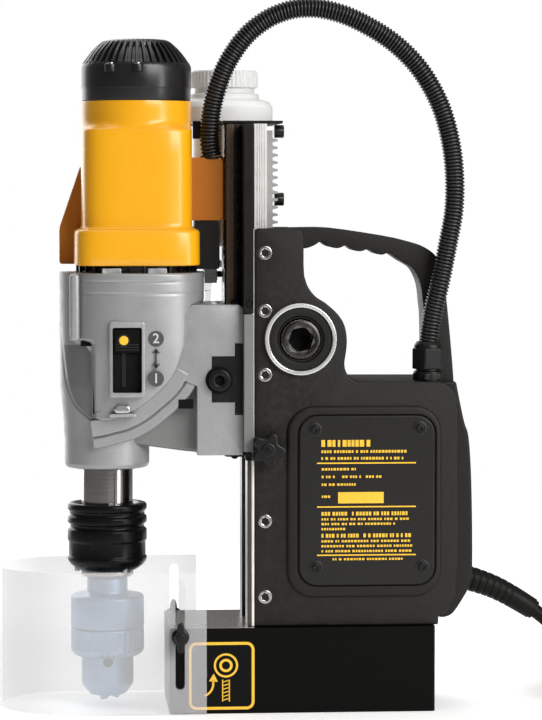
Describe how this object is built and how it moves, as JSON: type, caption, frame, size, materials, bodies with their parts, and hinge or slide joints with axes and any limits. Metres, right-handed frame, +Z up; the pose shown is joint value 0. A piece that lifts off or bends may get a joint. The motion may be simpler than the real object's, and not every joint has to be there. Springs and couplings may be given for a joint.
{
  "type": "magnetic drill press",
  "caption": "Portable magnetic-base drill press with a rack-fed motor head, quick-release spindle, keyed chuck, chip guard and coolant bottle.",
  "frame": {"origin": "centre of the magnet's bottom face, which stands on the work surface", "axes": "+Z up along the feed; -X towards the spindle, +X towards the handle and cord; -Y near side with the nameplate, +Y control-panel and bottle side"},
  "size_m": [0.492, 0.1501, 0.4502],
  "materials": {
    "magnet_black": "semi-gloss black",
    "coil_resin": "matt potted winding",
    "frame_charcoal": "fine-textured matt charcoal",
    "bright_steel": "bright machined",
    "hub_chrome": "polished",
    "slide_aluminium": "satin",
    "cast_aluminium": "satin casting",
    "yellow_housing": "semi-gloss amber yellow",
    "black_plastic": "matt",
    "milky_plastic": "translucent",
    "board_green": "solder mask",
    "switch_red": "gloss",
    "switch_green": "gloss",
    "cord_rubber": "matt"
  },
  "bodies": {
    "frame": {"magnet_body": "magnet_black", "magnet_coil": "coil_resin", "main_frame": "frame_charcoal", "guide_rail_near": "magnet_black", "guide_rail_far": "magnet_black", "gib_strip_near": "bright_steel", "gib_strip_far": "bright_steel", "frame_screw_1": "bright_steel", "frame_screw_2": "bright_steel", "frame_screw_3": "bright_steel", "frame_screw_4": "bright_steel", "frame_screw_5": "bright_steel", "nameplate_cover": "black_plastic", "control_panel": "black_plastic", "control_board": "board_green", "conduit_gland": "black_plastic", "conduit": "black_plastic", "pinion_bearing_near": "hub_chrome", "pinion_bearing_far": "hub_chrome", "cord_boot": "cord_rubber", "cord_lead": "cord_rubber", "cord_coil": "cord_rubber", "cord_plug": "cord_rubber"},
    "carriage": {"slide_bar": "slide_aluminium", "carrier_bar": "magnet_black", "rack": "bright_steel", "gearbox_housing": "cast_aluminium", "motor_housing": "yellow_housing", "motor_cap": "black_plastic", "fan_baffle": "black_plastic", "terminal_box": "yellow_housing", "bottle_bracket": "magnet_black", "coolant_bottle": "milky_plastic", "coolant_valve": "milky_plastic", "coolant_hose": "black_plastic", "clamp_plate": "magnet_black", "clamp_screw": "magnet_black", "motor_stator": "bright_steel", "bearing_lower": "bright_steel", "bearing_upper": "bright_steel"},
    "feed_pinion": {"feed_pinion": "bright_steel"},
    "slide_lock": {"slide_lock_knob": "black_plastic"},
    "chip_guard": {"chip_guard": "milky_plastic"},
    "thumb_screw_near": {"thumb_screw_near": "black_plastic"},
    "thumb_screw_far": {"thumb_screw_far": "black_plastic"},
    "magnet_switch": {"magnet_switch": "switch_red"},
    "start_button": {"start_button": "switch_green"},
    "stop_button": {"stop_button": "switch_red"},
    "spindle": {"spindle": "bright_steel", "drill_chuck_body": "bright_steel"},
    "armature": {"armature": "bright_steel"},
    "cluster_gear": {"cluster_gear": "bright_steel"},
    "release_sleeve": {"release_sleeve": "black_plastic"},
    "chuck_sleeve": {"chuck_sleeve": "bright_steel"},
    "jaw_1": {"chuck_jaw_1": "bright_steel"},
    "jaw_2": {"chuck_jaw_2": "bright_steel"},
    "jaw_3": {"chuck_jaw_3": "bright_steel"},
    "gear_selector": {"gear_selector": "black_plastic"},
    "valve_lever": {"valve_lever": "black_plastic"},
    "bottle_cap": {"bottle_cap": "milky_plastic"}
  },
  "joints": [
    {"name": "head_feed", "type": "slide", "parent": "frame", "child": "carriage", "axis": [0, 0, 1], "range_m": [-0.064, 0.066], "deforming": ["conduit"]},
    {"name": "feed_pinion_turn", "type": "hinge", "parent": "frame", "child": "feed_pinion", "pos_m": [-0.0012, 0, 0.2356], "axis": [0, 1, 0], "range_deg": [-275, 283]},
    {"name": "slide_lock_turn", "type": "hinge", "parent": "frame", "child": "slide_lock", "pos_m": [-0.0222, -0.038, 0.1667], "axis": [0, -1, 0], "range_deg": [-180, 0]},
    {"name": "guard_height", "type": "slide", "parent": "frame", "child": "chip_guard", "axis": [0, 0, 1], "range_m": [0, 0.029]},
    {"name": "thumb_near_turn", "type": "hinge", "parent": "frame", "child": "thumb_screw_near", "pos_m": [-0.0775, -0.042, 0.0497], "axis": [0, -1, 0], "range_deg": [-360, 0]},
    {"name": "thumb_far_turn", "type": "hinge", "parent": "frame", "child": "thumb_screw_far", "pos_m": [-0.0775, 0.042, 0.0497], "axis": [0, 1, 0], "range_deg": [-360, 0]},
    {"name": "magnet_rocker", "type": "hinge", "parent": "frame", "child": "magnet_switch", "pos_m": [0.0406, 0.0385, 0.157], "axis": [1, 0, 0], "range_deg": [0, 12]},
    {"name": "start_press", "type": "slide", "parent": "frame", "child": "start_button", "axis": [0, -1, 0], "range_m": [0, 0.003], "stiffness_N_per_m": 600},
    {"name": "stop_press", "type": "slide", "parent": "frame", "child": "stop_button", "axis": [0, -1, 0], "range_m": [0, 0.003], "stiffness_N_per_m": 600},
    {"name": "spindle_turn", "type": "hinge", "parent": "carriage", "child": "spindle", "pos_m": [-0.122, 0, 0.2], "axis": [0, 0, 1], "continuous": true},
    {"name": "armature_turn", "type": "hinge", "parent": "carriage", "child": "armature", "pos_m": [-0.103, 0, 0.3], "axis": [0, 0, 1], "continuous": true},
    {"name": "cluster_turn", "type": "hinge", "parent": "carriage", "child": "cluster_gear", "pos_m": [-0.09967, 0.0185, 0.245], "axis": [0, 0, 1], "continuous": true},
    {"name": "quick_release_twist", "type": "hinge", "parent": "spindle", "child": "release_sleeve", "pos_m": [-0.122, 0, 0.106], "axis": [0, 0, 1], "range_deg": [0, 35], "stiffness_Nm_per_rad": 0.4},
    {"name": "chuck_key_turn", "type": "hinge", "parent": "spindle", "child": "chuck_sleeve", "pos_m": [-0.122, 0, 0.041], "axis": [0, 0, 1], "range_deg": [0, 900]},
    {"name": "jaw_1_travel", "type": "slide", "parent": "spindle", "child": "jaw_1", "axis": [0.342, 0, 0.9397], "range_m": [0, 0.009]},
    {"name": "jaw_2_travel", "type": "slide", "parent": "spindle", "child": "jaw_2", "axis": [-0.171, 0.2962, 0.9397], "range_m": [0, 0.009]},
    {"name": "jaw_3_travel", "type": "slide", "parent": "spindle", "child": "jaw_3", "axis": [-0.171, -0.2962, 0.9397], "range_m": [0, 0.009]},
    {"name": "gear_shift", "type": "slide", "parent": "carriage", "child": "gear_selector", "axis": [0, 0, -1], "range_m": [0, 0.024]},
    {"name": "valve_turn", "type": "hinge", "parent": "carriage", "child": "valve_lever", "pos_m": [-0.0545, 0.032, 0.2745], "axis": [0, 1, 0], "range_deg": [0, 90]},
    {"name": "cap_turn", "type": "hinge", "parent": "carriage", "child": "bottle_cap", "pos_m": [-0.0432, 0.0605, 0.4], "axis": [0, 0, 1], "range_deg": [0, 360]}
  ],
  "couplings": [
    {"joint": "feed_pinion_turn", "follows": "head_feed", "rad_per_m": 74.074},
    {"joint": "cluster_turn", "follows": "spindle_turn", "ratio": -2.625},
    {"joint": "armature_turn", "follows": "spindle_turn", "ratio": 11.083},
    {"joint": "jaw_1_travel", "follows": "chuck_key_turn", "m_per_rad": 0.00057},
    {"joint": "jaw_2_travel", "follows": "chuck_key_turn", "m_per_rad": 0.00057},
    {"joint": "jaw_3_travel", "follows": "chuck_key_turn", "m_per_rad": 0.00057}
  ]
}
